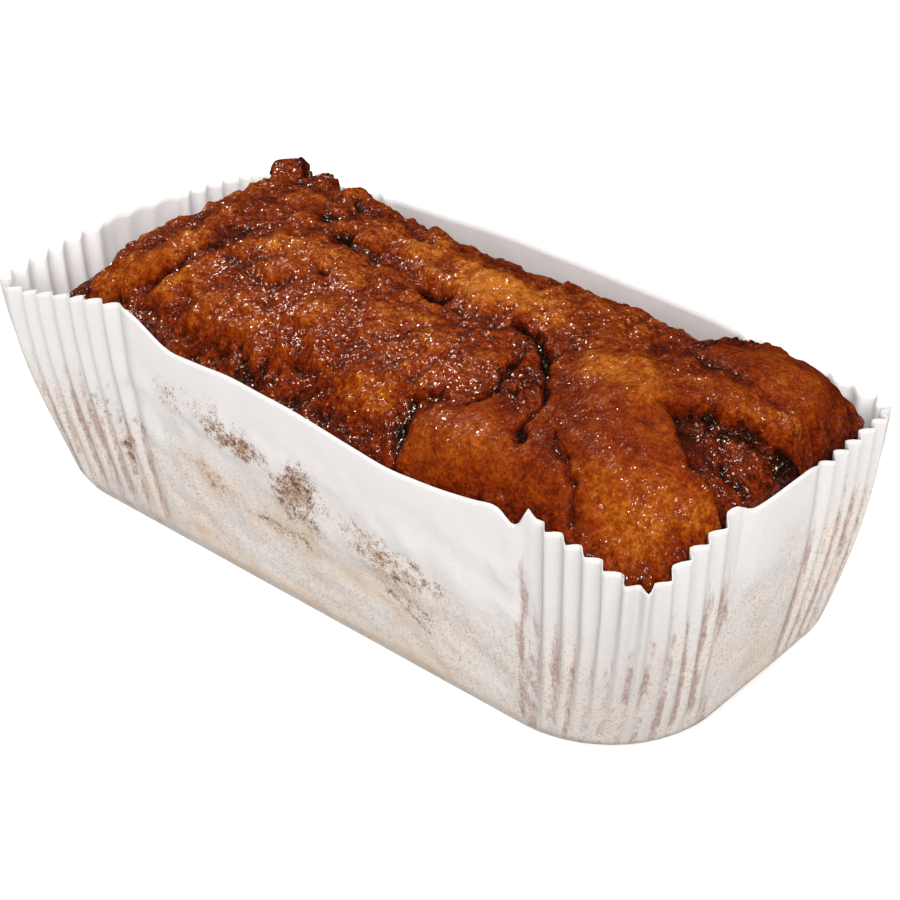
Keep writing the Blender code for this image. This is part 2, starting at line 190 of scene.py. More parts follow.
# Cracks: points of the line, depth and half width
CRACKS = (
    (((31.5, -1), (36.7, -1.8), (40.5, -5), (43.7, -6.7), (46.5, -9.5)), 3.6, 0.95),
    (((46.5, -9.5), (48.7, -12), (53, -17), (56, -21.6), (55.4, -25.5), (58.3, -31.3)), 2.2, 0.75),
    (((39, -7.5), (39.8, -13.2), (40.9, -16.4), (43, -21), (43.7, -24.9), (41, -28.5)), 1.7, 0.65),
    (((28.5, -31), (32, -30.6), (37.9, -30.5), (43.7, -25.5)), 0.8, 1.1),
    (((29, -32.5), (30.9, -36.6), (32.4, -40.4), (35.1, -45.1)), 1.7, 1.7),
    (((64, -27), (66.1, -29.5), (72.5, -34.2), (79.1, -39)), 1.2, 0.8),
    (((-23, 1), (-12, -0.5), (-3, -2), (14, -5), (28, -4)), 1, 3),
    (((61, 22.5), (68.9, 12.5), (78.5, 8.2), (90, 8.5)), 1, 3.2),
    (((-57, 38), (-55, 31), (-53, 24)), 3, 1.8),
    (((-64, -38.5), (-55.4, -33.5), (-49.8, -25.5), (-47.9, -15.2), (-46.5, -8.7), (-41.9, -4.8)), 1.2, 2),
    (((-12, 26), (-2, 20), (4, 12)), 0.8, 2.4), (((-25.5, 2.2), (-22.9, 1.4), (-20.5, 1.6)), 2, 0.8),
    (((-36, 8.6), (-33.4, 7.8), (-30.5, 6.4)), 1.2, 0.9),
    (((-39.5, 22), (-37.6, 21.3), (-34, 19)), 1.4, 1), (((6.5, -2.4), (9, -3.1), (11.5, -3.4)), 3, 1),
    (((-16, -14), (-14.7, -13.6), (-13.8, -14)), 1.8, 0.7), (((76.5, -17.6), (79, -16.6)), 0.9, 0.7),
    (((59.5, -39), (61.5, -39.5)), 0.7, 0.8),
)

# Ridges: points of the line, rise and half width
RIDGES = (
    (((-66, -35), (-61.4, -30.2), (-55.2, -25.5), (-53, -19), (-54.5, -7.1), (-60.4, 6.6), (-68, 20),
      (-73.2, 29.8)), 1.6, 3.2),
    (((-47.7, -31.6), (-43.5, -21.7), (-37.6, -15.5), (-31.3, -8.5)), 1.1, 3),
    (((61, -2), (70, 3), (80, 5), (92, 8.5)), 1, 4.5),
    (((-30, -20), (-18, -19), (-5, -22), (8, -20)), 0.9, 3.4),
    (((-26, 12), (-12, 9), (0, 3.5), (14, 0.5)), 0.9, 2.6),
)

# Ledges: points of the line, step up on its left-hand side, and how far each step fades out
LEDGES = (
    (((-74, 32), (-79, 8), (-80, -12), (-72, -34)), 2.2, 8),
    (((99.5, -20), (95.1, -18.3), (88, -17), (82.5, -13.5), (79.5, -10), (75.5, -9)), 3.6, 7),
    (((77, -8), (80.5, -4), (85, -0.5), (91.7, 1.9), (98.5, 6)), 2.6, 8),
    (((-36, 34), (-24, 24), (-10, 16)), 1.8, 8),
)

# Lobes, as ovals with their height for strength; a hollow has a negative height
LOBES = (
    (77, -27, 22, 14, 3.8, 6), (46, -36, 14, 9, 3.2, 10), (63, -8, 15, 9, 2.8, -14),
    (84, 21, 18, 14, 3.2), (20, 6, 14, 8, 3.2, -16), (46, 8, 16, 11, 2.6, -14), (-6, 14, 13, 9, 2.2, 20),
    (16, -35, 9, 6, 1.8), (28, -20, 13, 9, 2, 12), (-10, -30, 12, 9, 1.6, 24), (-28, -32, 10, 7, 1.8),
    (-44, -28, 6, 5, 1.4), (-18, 5, 9, 6, 1.6), (-9, -12.5, 6, 5, 1.6), (-22, -12, 8, 6, 1.4, 30),
    (-40, 28, 14, 8, 3.6, -10), (-74.5, 32, 3.8, 4.6, 7.6), (-65.5, 34.5, 4.6, 5.2, 6.8),
    (-70, 34.5, 4, 4, 1.6), (-86, -12, 4.5, 4.5, 4.2), (-23, 1.4, 4, 3, -1.2), (-33.4, 7.8, 4, 3, -1),
    (9.5, -3.2, 5, 3.4, -1.6), (43, -14, 5, 6, -1.8, 30), (52.5, -24, 3.5, 3, -1), (60, 25, 5, 3.6, -2),
    (90, -7, 10, 6.5, -2.2, -10), (70, 29, 8, 4, 2.8),
)

# Crumbly places, as ovals, and their crumbs: size, height and seed
CRAG_PATCHES = (
    (-69, 33, 11, 7, 1), (70, 28, 10, 5, 1), (89, -7, 8, 6, 0.8), (47.5, -17, 5, 8, 1),
    (-86, -12, 6, 6, 0.8), (-36, 20, 9, 6, 0.6), (-10, -40, 34, 4, 0.7), (-26, 3, 10, 4, 0.5),
    (8, -2, 12, 4, 0.4),
)
CRUMBS = ((3.6, 1.3, 201), (1.9, 0.7, 202))

# Wrinkles along the left end: distance apart, height, where they start and are full, how far they wander
WRINKLE_PITCH, WRINKLE_HEIGHT, WRINKLE_FROM, WRINKLE_FULL = 6.5, 1.0, -42.0, -62.0
WRINKLE_WANDER = 3.0

# How lobes, lines and ledges are drawn: wobble of their edges, steepness of a lobe, width of a ledge's edge
WOBBLE, WOBBLE_SIZE = 0.9, 5.0
LOBE_POWER = 1.3
LEDGE_EDGE = 0.7

# The finest bumps
PEBBLE_HEIGHT, PEBBLE_SIZE = 0.10, 1.3

# Lumps all over: size, height, seed and the share of the height left on the smooth lobes
LUMPS = ((10, 1.3, 11, 0.15), (5.2, 0.45, 12, 0.2), (2.6, 0.28, 21, 0.25), (1.6, 0.22, 22, 0.3))
LUMP_STEEPNESS = 1.4
LUMP_MEAN, CRUMB_MEAN = 0.6, 0.5

# Broad unevenness of the whole crust, and the middles and radii of its smooth lobes
WAVE_SIZE, WAVE_HEIGHT, WAVE_SEED = 23.0, 1.1, 13
SMOOTH_LOBES = ((75, -24, 24), (84, 21, 15), (46, -36, 12), (-58.5, -28, 5.5))

# Places of colour or glaze on the crust, as ovals
GOLD_PATCHES = (
    (24, 6, 15, 7, 1), (66, -7, 9, 5, 0.55), (4, -1, 8, 4, 0.5), (-30, -11.5, 8, 4, 0.6),
    (-4, 9, 6, 4, 0.5), (-58.5, -28, 6, 4, 0.2), (-9, -12.5, 4, 3, 0.4), (90, -33, 8, 7, 0.8),
    (-48, 16, 7, 5, 0.3),
)
STICKY_PATCHES = (
    (89, -7, 9, 7, 1), (97, 2, 5, 5, 0.7), (47, -17, 5.5, 8, 0.9), (38, -4, 7, 4, 0.7), (69, 26, 9, 5, 1),
    (31, -38, 3.5, 6, 0.9), (9.5, -3, 5, 3, 0.8), (-69, 33, 13, 7, 1), (-88, -12, 7, 7, 0.8),
    (-82, -34, 9, 8, 0.8), (-48, -38, 8, 4, 0.7), (-28, -38, 6, 3, 0.8), (-15, -39.5, 6, 3, 0.9),
    (2, -40, 8, 3, 0.8), (22, -41.5, 8, 3, 0.9), (-15, -13.6, 3, 2, 0.7), (-23, 1, 5, 3, 0.7),
    (-33, 8, 6, 3, 0.5), (-37.6, 20, 7, 5, 0.6), (-31.6, -8.9, 4, 2.5, 0.4), (-46, -7, 5, 5, 0.5),
    (94, 17, 6, 5, 0.3), (-20, 20, 12, 6, 0.3), (90, -32, 9, 8, 0.2),
)
GLAZED_PATCHES = (
    (28, -20, 13, 8, 1), (-6, -20, 22, 9, 0.7), (-14, -31, 18, 7, 0.6), (90, -32, 9, 8, 1.8),
    (26, 0, 12, 6, 0.25), (89, -7, 9, 6, 0.9), (44, -36, 8, 5, 0.5),
)
# Burnt crags, and a dark strip along the front edge by the paper that is partly painted shade
BURNT_AND_EDGE_SHADE_PATCHES = (
    (-69, 34, 8, 6, 0.8), (70, 28, 9, 4, 0.3), (-86, -12, 4, 4, 0.35), (-10, -41.5, 42, 2.6, 0.3),
    (-86, -34, 8, 7, 0.3), (98, 20, 4, 7, 0.2), (48, -17, 4, 7, 0.15), (-30, 14, 12, 6, 0.12),
)

# How many cells of the grid around a place tell whether it is hollow or raised; both drive painted shade,
# darker in the sunk places
HOLLOW_REACH, RAISED_REACH = 8, 22

# Fields of the loaf's sides below the crust's grid, with a little painted shade from the hollow field
SIDE_FIELDS = {"hollow": 0.1, "raised": 0.5, "sticky": 0.2}


def smooth(value):
    """Eases a value from 0 to 1, flat at both ends: 3x^2 - 2x^3."""
    value = np.clip(value, 0.0, 1.0)
    return value * value * (3.0 - 2.0 * value)


def outline(side, s, half_length, half_width, radius):
    """Points and outward normals of a rounded rectangle, at s along each side.

    The straight part follows s times the half side, and the rest of s turns 45 degrees of the corner.
    """
    half = np.where(side % 2 == 0, half_length, half_width)
    out = np.where(side % 2 == 0, half_width, half_length)
    reach = np.abs(s) * half
    turn = np.clip((reach - half + radius) / radius, 0.0, 1.0) * np.pi / 4
    along = np.minimum(reach, half - radius) + radius * np.sin(turn)
    outward = out - radius + radius * np.cos(turn)
    sign = np.sign(s)
    points = (sign * along)[..., None] * ALONG[side] + outward[..., None] * OUTWARD[side]
    normals = (sign * np.sin(turn))[..., None] * ALONG[side] + np.cos(turn)[..., None] * OUTWARD[side]
    return points, normals


def case_plan(side, s, t, corner_extra=0.0):
    """Plan of the case's wall at the share t of its height, before the pleats.

    The wall flares by the sine of t times a quarter turn, raised to a power that is lower towards
    the right-hand end, where the wall is fuller, and it is tucked in a little at its foot.
    """
    rightwards = np.choose(side, [(1.0 + s) / 2, 1.0 + 0.0 * s, (1.0 - s) / 2, 0.0 * s])
    power = FLARE_POWERS[0] + (FLARE_POWERS[1] - FLARE_POWERS[0]) * rightwards
    flare = np.sin(np.pi / 2 * t) ** power
    tuck = BASE_ROUNDING * (1.0 - smooth(t / 0.1)) ** 2
    half_length = BASE_HALF_LENGTH + (RIM_HALF_LENGTH - BASE_HALF_LENGTH) * flare - tuck
    half_width = BASE_HALF_WIDTH + (RIM_HALF_WIDTH - BASE_HALF_WIDTH) * flare - tuck
    base_radius = BASE_RADII[(side + (s > 0)) % 4]
    radius = base_radius + (RIM_RADIUS - base_radius) * t + corner_extra
    return outline(side, s, half_length, half_width, radius)


def rim_height(side, s):
    """Height of the rim, read along the side between its named places and eased over a short way."""
    height = np.zeros(np.shape(s))
    for k, places in RIM_HEIGHTS.items():
        here = side == k
        for shift in RIM_EASING:
            height[here] += np.interp(s[here] + shift, *np.transpose(places)) / len(RIM_EASING)
    for k, place, width, rise in RIM_TIPS:
        height += (side == k) * rise * np.exp(-((s - place) / width) ** 2)
    start, end = PANELS[LEFT][:2]
    arch = np.abs(np.sin(np.pi * (s - start) / LEFT_WAVE))
    height += (side == LEFT) * (s > start) * (s < end) * LEFT_WAVE_SCALLOP * (arch - 0.6)
    return height


def folds_of_case():
    """For each side, the places s of its folds and their zigzag, -1 in a valley and 1 on a peak."""
    rng = np.random.default_rng(7)
    found = {}
    for side, (start, end, before, after) in PANELS.items():
        rows = []
        for corner, panel, pleats in ((-1.0, start, before), (1.0, end, after)):
            for k in range(2 * pleats):
                wobble = rng.uniform(-1.0, 1.0) * PLEAT_UNEVEN if k else 0.0
                s = corner + (panel - corner) * (k + wobble) / (2 * pleats)
                size = 1.0 - PLEAT_UNEVEN * rng.uniform(0.0, 1.0)
                if corner < 0.0 or k:
                    rows.append((s, size if k % 2 == 0 else -size))
        rows += [(start, 0.0), (end, 0.0), (1.0, 1.0)]
        found[side] = np.array(sorted(rows)).T
    return found


FOLDS = folds_of_case()


def zigzag(side, s):
    """The paper's zigzag at s: straight from fold to fold, a little rounded at each fold."""
    wave = np.zeros(np.shape(s))
    for k, (places, sizes) in FOLDS.items():
        here = side == k
        along = np.clip(np.searchsorted(places, s[here], side="right") - 1, 0, len(places) - 2)
        gap = np.maximum(places[along + 1] - places[along], 1e-6)
        share = np.clip((s[here] - places[along]) / gap, 0.0, 1.0)
        share = share - FOLD_ROUNDING * np.sin(2 * np.pi * share) / (2 * np.pi)
        wave[here] = sizes[along] * (1.0 - share) + sizes[along + 1] * share
    return wave


def panel_bow(side, s):
    """How far a flat panel bows outwards, most at its middle."""
    bow = np.zeros(np.shape(s))
    for k, (start, end, _, _) in PANELS.items():
        here = (side == k) & (s > start) & (s < end)
        share = (s[here] - start) / (end - start)
        bow[here] = PANEL_BOW * np.sin(np.pi * share) * (1.0 if k % 2 == 0 else 0.5)
        if k == LEFT:
            bow[here] += LEFT_WAVE_DEPTH * (np.abs(np.sin(np.pi * (s[here] - start) / LEFT_WAVE)) - 0.6)
    return bow


def case_wall(side, s, t, depth, inset, corner_extra=0.0):
    """Points of the pleated wall: the plan at t, moved along its normal by the zigzag and the bow."""
    plan, normals = case_plan(side, s, t, corner_extra)
    pleats = zigzag(side, s) * depth * t ** PLEAT_GROWTH * smooth(t / 0.15)
    shift = pleats + panel_bow(side, s) * smooth(t) - inset
    points = plan + normals * np.asarray(shift)[..., None]
    return np.concatenate([points, (t * rim_height(side, s))[..., None]], axis=-1), normals


def lattice_cell(x, y, size):
    """Places in cells of a square lattice, and the whole numbers of the cells that they are in."""
    gx, gy = x / size + LATTICE_OFFSET, y / size + LATTICE_OFFSET
    return gx, gy, np.floor(gx).astype(int), np.floor(gy).astype(int)


def waves(x, y, size, seed):
    """Soft noise from -1 to 1: random values on a square lattice, eased between."""
    table = np.random.default_rng(seed).uniform(-1.0, 1.0, (LATTICE, LATTICE))
    gx, gy, ix, iy = lattice_cell(x, y, size)
    fx, fy = smooth(gx - ix), smooth(gy - iy)
    ix, iy, jx, jy = ix % LATTICE, iy % LATTICE, (ix + 1) % LATTICE, (iy + 1) % LATTICE
    low = table[ix, iy] * (1 - fx) + table[jx, iy] * fx
    high = table[ix, jy] * (1 - fx) + table[jx, jy] * fx
    return low * (1 - fy) + high * fy


def fractal(x, y, size, seed, octaves=4):
    """Waves added up, each octave half as large and 0.6 as high as the one before."""
    total = np.zeros(x.shape)
    for k in range(octaves):
        total = total + 0.6 ** k * waves(x, y, size / 2 ** k, seed + k)
    return total


def lumps(x, y, size, seed):
    """Rounded lumps from 0 in the creases to 1: the gap between the two nearest of scattered middles."""
    table = np.random.default_rng(seed).uniform(0.0, 1.0, (LATTICE, LATTICE, 2))
    gx, gy, ix, iy = lattice_cell(x, y, size)
    near = np.full(x.shape, np.inf)
    second = near.copy()
    for di in (-1, 0, 1):
        for dj in (-1, 0, 1):
            middle = table[(ix + di) % LATTICE, (iy + dj) % LATTICE]
            distance = np.hypot(ix + di + middle[..., 0] - gx, iy + dj + middle[..., 1] - gy)
            second = np.minimum(second, np.maximum(near, distance))
            near = np.minimum(near, distance)
    return smooth((second - near) * LUMP_STEEPNESS)


def line_profile(x, y, points, width):
    """exp(-(distance / width)^2) from a line through the points, the distance, and 1 on its left side."""
    best = np.full(x.shape, np.inf)
    left = np.ones(x.shape)
    for (ax, ay), (bx, by) in zip(points[:-1], points[1:]):
        dx, dy = bx - ax, by - ay
        share = np.clip(((x - ax) * dx + (y - ay) * dy) / (dx * dx + dy * dy), 0.0, 1.0)
        distance = np.hypot(x - ax - share * dx, y - ay - share * dy)
        nearer = distance < best
        best = np.where(nearer, distance, best)
        left = np.where(nearer, np.sign(dx * (y - ay) - dy * (x - ax)), left)
    return np.exp(-(best / width) ** 2), best, left


def ovals(x, y, places, power=1.0):
    """The sum of soft ovals: each is its strength times exp(-r^(2 power)), r being 1 on its edge."""
    total = np.zeros(x.shape)
    for mx, my, rx, ry, strength, *turn in places:
        angle = np.radians(turn[0] if turn else 0.0)
        u = ((x - mx) * np.cos(angle) + (y - my) * np.sin(angle)) / rx
        v = ((y - my) * np.cos(angle) - (x - mx) * np.sin(angle)) / ry
        total = total + strength * np.exp(-(u * u + v * v) ** power)
    return total


def patches(x, y, places):
    """Soft ovals of colour, whose sum is at most 1."""
    return np.minimum(ovals(x, y, places), 1.0)


def roughness_share(x, y):
    """1 on the rough crust and towards 0 in the middle of each smooth lobe."""
    rough = np.ones(x.shape)
    for mx, my, radius in SMOOTH_LOBES:
        rough = rough * (1.0 - np.exp(-(((x - mx) ** 2 + (y - my) ** 2) / radius ** 2) ** 2))
    return rough


def relief(x, y, strength):
    """Height of the crust's relief over the plain dome, and the depth of its named cracks."""
    wx = x + WOBBLE * fractal(x, y, WOBBLE_SIZE, 31)
    wy = y + WOBBLE * fractal(x, y, WOBBLE_SIZE, 41)
    height = WAVE_HEIGHT * waves(x, y, WAVE_SIZE, WAVE_SEED) + ovals(wx, wy, LOBES, LOBE_POWER)
    crack = np.zeros(x.shape)
    for points, depth, width in CRACKS:
        cut = depth * line_profile(wx, wy, points, width)[0]
        height = height - cut
        crack = np.maximum(crack, cut)
    for points, rise, width in RIDGES:
        height = height + rise * line_profile(wx, wy, points, width)[0]
    for points, rise, fade in LEDGES:
        share, distance, left = line_profile(wx, wy, points, fade)
        height = height + 0.5 * rise * left * np.tanh(distance / LEDGE_EDGE) * share
    rough = roughness_share(x, y)
    for size, rise, seed, left_over in LUMPS:
        share = left_over + (1.0 - left_over) * rough
        height = height + share * rise * (lumps(wx, wy, size, seed) - LUMP_MEAN)
    crag = patches(x, y, CRAG_PATCHES)
    for size, rise, seed in CRUMBS:
        height = height + crag * rise * (lumps(wx, wy, size, seed) - CRUMB_MEAN)
    ridges = np.abs(np.sin(np.pi * (x + 0.12 * y + WRINKLE_WANDER * waves(x, y, 14.0, 51)) / WRINKLE_PITCH))
    leftwards = smooth((WRINKLE_FROM - x) / (WRINKLE_FROM - WRINKLE_FULL))
    height = height + WRINKLE_HEIGHT * leftwards * (0.5 + 0.5 * waves(x, y, 11.0, 52)) * (ridges - 0.6)
    height = height + PEBBLE_HEIGHT * strength * fractal(x, y * 0.6, PEBBLE_SIZE, 61, 2)
    return height, crack


def blur(field, radius):
    """Mean of a grid over a square window, by running sums along each way."""
    for axis in (0, 1):
        n = field.shape[axis]
        padded = np.take(field, np.clip(np.arange(-radius, n + radius + 1), 0, n - 1), axis=axis)
        sums = np.cumsum(padded, axis=axis)
        high = np.take(sums, np.arange(2 * radius + 1, 2 * radius + 1 + n), axis=axis)
        low = np.take(sums, np.arange(n), axis=axis)
        field = (high - low) / (2 * radius + 1)
    return field


def draw_in(x, y):
    """Draws the top of the loaf in from the case, at its left end and along its back."""
    share = smooth((LEFT_SHRINK_FROM - x) / (RIM_HALF_LENGTH + LEFT_SHRINK_FROM))
    shrink = np.interp(y, *np.transpose(LEFT_SHRINK))
    back = smooth((y - BACK_SHRINK_FROM) / (RIM_HALF_WIDTH - BACK_SHRINK_FROM)) * BACK_SHRINK
    return x + shrink * share, y - back


def side_fractions(count):
    """Positions from -1 to 1, a little closer together towards the ends, where the shoulder turns."""
    even = np.linspace(-1.0, 1.0, count + 1)
    return even + 0.10 * np.sin(np.pi * even) / np.pi


def loaf_edge(side, s, height, pleat_depth, further_in=0.0):
    """Plan of the loaf's side at a height, inside the case's wall.

    It follows the pleats a small gap inside them, and where the top is drawn in it is plain and
    keeps clear of the valleys.
    """
    t = height / rim_height(side, s)
    plain, _ = case_wall(side, s, t, 0.0, 0.0, LOAF_CORNER_EXTRA)
    share = smooth(height / SHOULDER_HEIGHT)
    drawn = np.hypot(*(np.stack(draw_in(plain[..., 0], plain[..., 1])) - np.moveaxis(plain[..., :2], -1, 0)))
    follow = 1.0 - smooth(drawn * share / 0.8)
    inset = SIDE_GAP + (1.0 - follow) * PLEAT_CLEARANCE + further_in
    wall, _ = case_wall(side, s, t, pleat_depth * follow, inset, LOAF_CORNER_EXTRA)
    return wall[..., :2]


def loaf_grid(settings, pleat_depth):
    """The crust as a grid of points, with its colour fields.

    Each place lies m of the way out to the loaf's outline, m being the larger of |u| and |v|, at the
    height shoulder + crest share, and the relief moves it along the dome's normal.
    """
    u, v = np.meshgrid(side_fractions(TOP_COLUMNS), side_fractions(TOP_ROWS), indexing="ij")
    m = np.maximum(np.maximum(np.abs(u), np.abs(v)), 1e-9)
    side = np.where(np.abs(v) >= np.abs(u), np.where(v < 0, FRONT, BACK), np.where(u > 0, RIGHT, LEFT))
    s = np.choose(side, [u / m, v / m, -u / m, -v / m])
    shoulder = np.full(u.shape, SHOULDER_HEIGHT)
    plain = loaf_edge(side, s, shoulder, 0.0, PLEAT_CLEARANCE)
    pleated = loaf_edge(side, s, shoulder, pleat_depth)
    near_edge = smooth((m - 0.90) / 0.10)[..., None]
    ring = plain * (1.0 - near_edge) + pleated * near_edge
    plan = ring * m[..., None]
    x, y = draw_in(plan[..., 0], plan[..., 1])
    crest = np.interp(x, *np.transpose(CREST_HEIGHTS)) - SHOULDER_HEIGHT
    end = (1.0 - np.abs(u) ** np.where(u < 0, *END_POWERS)) ** END_ROUNDING
    crown_power = CROWN_POWERS[0] + (CROWN_POWERS[1] - CROWN_POWERS[0]) * smooth(u) * (v > 0)
    crown = (1.0 - np.abs(v) ** crown_power) ** CROWN_ROUNDING
    points = np.stack([x, y, SHOULDER_HEIGHT + crest * end * crown], axis=-1)
    normal = np.cross(np.gradient(points, axis=0), np.gradient(points, axis=1))
    normal /= np.linalg.norm(normal, axis=-1, keepdims=True)
    height, crack = relief(x, y, settings.pebble)
    leftwards = smooth((LEFT_SHRINK_FROM - x) / LEFT_SAG_REACH) * smooth((m - 0.88) / 0.12)
    points[..., 2] -= LEFT_SAG * (0.5 + 0.5 * waves(x, y, 7.0, 151)) * leftwards
    fade = smooth((1.0 - m) / 0.05)
    points = points + normal * (height * fade * settings.relief)[..., None]
    # Painted shade, partly burnt crust: darker in sunk places, in the named cracks and at the edge next to
    # the paper
    hollow = np.clip((blur(height, HOLLOW_REACH) - height - 0.4) / 2.2, 0.0, 0.75)
    hollow = hollow + np.clip(crack / 4.5 - 0.15, 0.0, 0.7) + 0.12 * smooth((m - 0.94) / 0.06)
    fields = {
        "hollow": np.clip(hollow + patches(x, y, BURNT_AND_EDGE_SHADE_PATCHES), 0.0, 1.0),
        "lobe": 1.0 - roughness_share(x, y),
        "gold": patches(x, y, GOLD_PATCHES),
        "sticky": patches(x, y, STICKY_PATCHES),
        "glazed": patches(x, y, GLAZED_PATCHES),
        # Painted light and shade in part: the tone is paler where the crust stands above its surroundings and
        # darker where it is sunk
        "raised": np.clip(0.5 + (height - blur(height, RAISED_REACH)) / 4.0, 0.0, 1.0),
    }
    return u, v, points, fields


def loaf_mesh(settings, pleat_depth):
    """Vertices, faces and fields of the whole loaf: the crust's grid, rows down its sides, a flat bottom."""
    u, v, top, fields = loaf_grid(settings, pleat_depth)
    nu, nv = u.shape
    index = np.arange(nu * nv).reshape(nu, nv)
    quads = np.stack([index[:-1, :-1], index[1:, :-1], index[1:, 1:], index[:-1, 1:]], axis=-1).reshape(-1, 4)
    border = np.concatenate([index[:-1, 0], index[-1, :-1], index[:0:-1, -1], index[0, :0:-1]])
    side = np.repeat([FRONT, RIGHT, BACK, LEFT], [nu - 1, nv - 1, nu - 1, nv - 1])
    s = np.concatenate([u[:-1, 0], v[-1, :-1], -u[:0:-1, -1], -v[0, :0:-1]])
    count = len(border)
    rings = []
    for t in np.linspace(0.0, 1.0, SIDE_ROWS + 1)[:-1] ** 1.5:
        height = np.full(count, LOAF_BOTTOM + (SHOULDER_HEIGHT - LOAF_BOTTOM) * t)
        low = loaf_edge(side, s, height, pleat_depth)
        share = smooth((t - 0.3) / 0.7)
        x, y = draw_in(low[:, 0], low[:, 1])
        plan = low * (1.0 - share) + np.column_stack([x, y]) * share
        _, normals = case_wall(side, s, height / rim_height(side, s), 0.0, 0.0, LOAF_CORNER_EXTRA)
        free = smooth(np.hypot(*(plan - low).T) / 4.0) * smooth((1.0 - t) / 0.12)
        bumps = fractal(low[:, 0] + low[:, 1], height, SIDE_LUMP_SIZE, 141)
        plan = plan + normals * (SIDE_LUMP_HEIGHT * free * bumps)[:, None]
        rings.append(np.column_stack([plan, height]))
    vertices = np.vstack([top.reshape(-1, 3)] + rings)
    rows = [nu * nv + k * count + np.arange(count) for k in range(len(rings))] + [border]
    walls = []
    for low, high in zip(rows[:-1], rows[1:]):
        walls.append(np.stack([low, np.roll(low, -1), np.roll(high, -1), high], axis=1))
    faces = np.vstack([quads] + walls).tolist()
    faces.append(rows[0][::-1].tolist())
    extra = len(vertices) - nu * nv
    whole = {}
    for name, field in fields.items():
        whole[name] = np.concatenate([field.ravel(), np.full(extra, SIDE_FIELDS.get(name, 0.0))])
    return vertices, faces, whole


def paper_columns():
    """Places round the case where the paper has columns, as side and s, close together at the folds."""
    sides, places = [], []
    for side, (folds, _) in FOLDS.items():
        edge = RIM_HALF_LENGTH if side % 2 == 0 else RIM_HALF_WIDTH
        row = []
        for a, b in zip(folds[:-1], folds[1:]):
            steps = FOLD_COLUMNS
            if (b - a) * edge > FOLD_COLUMNS * 2.5:
                steps = int(np.ceil((b - a) * edge / PANEL_COLUMN_SPACING))
            row += list(a + (b - a) * np.arange(steps) / steps)
        places += row
        sides += [side] * len(row)
    return np.array(sides), np.array(places)


def along_walls(side, points):
    """A length along each wall, far from those of the other walls, so that no noise repeats."""
    return np.where(side % 2 == 0, points[..., 0], points[..., 1]) + WALL_OFFSET * side


def paper_fields(side, s, points):
    """Colour fields of the paper: brown and tan stains, grease up to a wavy line, and the pleats' valleys,
    with painted shade along the front panel's seam.

    A sliver is a dark edge at the foot of the right-hand end, and the pleat shade field is 1 off the panels,
    where it paints shade on the pleats.
    """
    x, y, z = points[..., 0], points[..., 1], points[..., 2]
    along = along_walls(side, points)
    drift_x = x + STAIN_WOBBLE * fractal(x, z, 7.0, 71, 3)
    drift_z = z + STAIN_WOBBLE * fractal(x, z, 7.0, 81, 3)
    front = (side == FRONT) * 1.0
    brown = front * patches(drift_x, drift_z, BROWN_STAINS)
    tan = front * patches(drift_x, drift_z, TAN_STAINS)
    cloud = fractal(along, z * 0.6, 26.0, 91, 3)
    tan = tan + (1.0 - front) * smooth((cloud - 0.1) / 0.8) * smooth((30.0 - z) / 16.0) * 0.8
    tan = np.clip(tan, 0.0, 1.0)
    back = (side == BACK) * smooth((0.45 - np.abs(s + 0.06)) / 0.15)
    cloud = smooth((fractal(along, z * 0.8, 15.0, 95, 3) - 0.35) / 0.5)
    brown = np.clip(brown + 0.6 * back * cloud * np.exp(-((z - 34.0) / 10.0) ** 2), 0.0, 1.0)
    tan = np.clip(tan + 0.45 * brown, 0.0, 1.0)
    wet_line = WET_LINE + WET_LINE_RIGHT * (side == RIGHT)
    wet_line = wet_line + 5.0 * waves(along, z * 0.0, 17.0, 101) + 4.0 * waves(along, z * 0.0, 5.0, 102)
    grease = smooth((wet_line - z) / WET_FADE)
    pleated = (np.abs(zigzag(side, s)) > 0.02) * 1.0
    valley = pleated * smooth(0.55 - 0.75 * zigzag(side, s)) * smooth((wet_line - z) / 20.0)
    valley = valley * (0.65 + 0.6 * waves(along, z * 0.2, 4.0, 103)) * (0.4 + 0.6 * smooth(z / 12.0))
    # Painted shade along the front panel's seam, added to the valleys
    seam_shade = front * np.exp(-((s - SEAM) / SEAM_WIDTH) ** 2) * smooth((58.0 - z) / 12.0) * smooth(z / 8.0)
    valley = np.maximum(valley, seam_shade)
    sliver = (side == RIGHT) * smooth((2.6 - z) / 1.6) * smooth((y + 16.0) / 5.0) * smooth((24.0 - y) / 5.0)
    # Painted shade: the paper is darker wherever it is pleated
    starts, ends = np.array([PANELS[k][:2] for k in (FRONT, RIGHT, BACK, LEFT)]).T
    folded = 1.0 - smooth((s - starts[side]) / 0.02) * smooth((ends[side] - s) / 0.02)
    return {
        "folded": folded,
        "brown": brown,
        "tan": tan,
        "grease": grease,
        "valley": np.clip(valley, 0.0, 1.0),
        "sliver": sliver * 1.0,
    }


